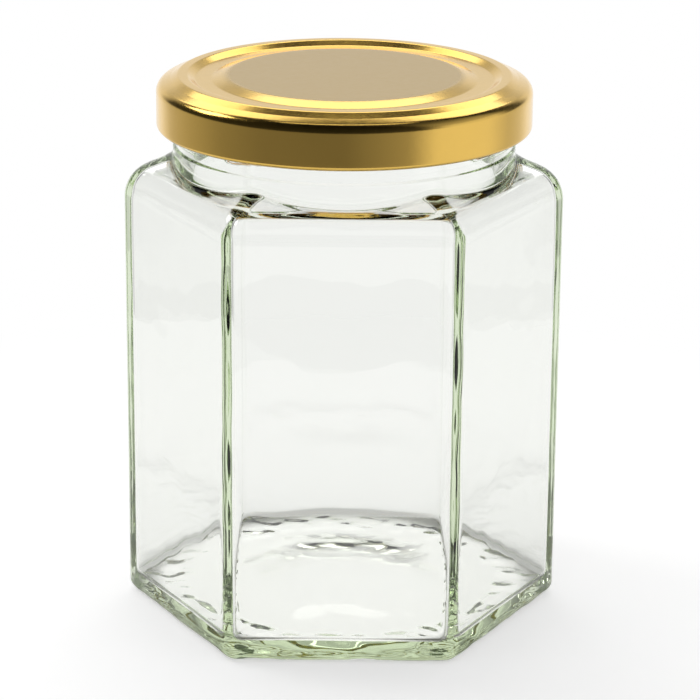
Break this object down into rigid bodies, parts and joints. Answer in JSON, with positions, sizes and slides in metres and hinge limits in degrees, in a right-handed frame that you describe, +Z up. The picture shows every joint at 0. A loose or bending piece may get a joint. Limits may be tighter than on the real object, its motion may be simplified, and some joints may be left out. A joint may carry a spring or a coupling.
{
  "type": "hexagonal jam jar",
  "caption": "Empty clear glass food jar with a hexagonal body and round neck, shut with a gold lacquered twist-off lid.",
  "frame": {"origin": "centre of the base, on the surface that the jar stands on", "axes": "+Z up along the axis of the neck and lid; -Y is the outward normal of one flat face, and two of the upright corners lie on the X axis"},
  "size_m": [0.0776, 0.0682, 0.0973],
  "materials": {
    "glass": "clear fire-polished soda-lime glass with a faint green tint in the thick corners, heel and base",
    "gold_lacquer": "glossy gold-lacquered tinplate, slightly satin on the flat panel",
    "seal_compound": "matt off-white soft sealing compound"
  },
  "bodies": {
    "root": {"jar": "glass", "lid": "gold_lacquer", "seal": "seal_compound"}
  },
  "joints": []
}
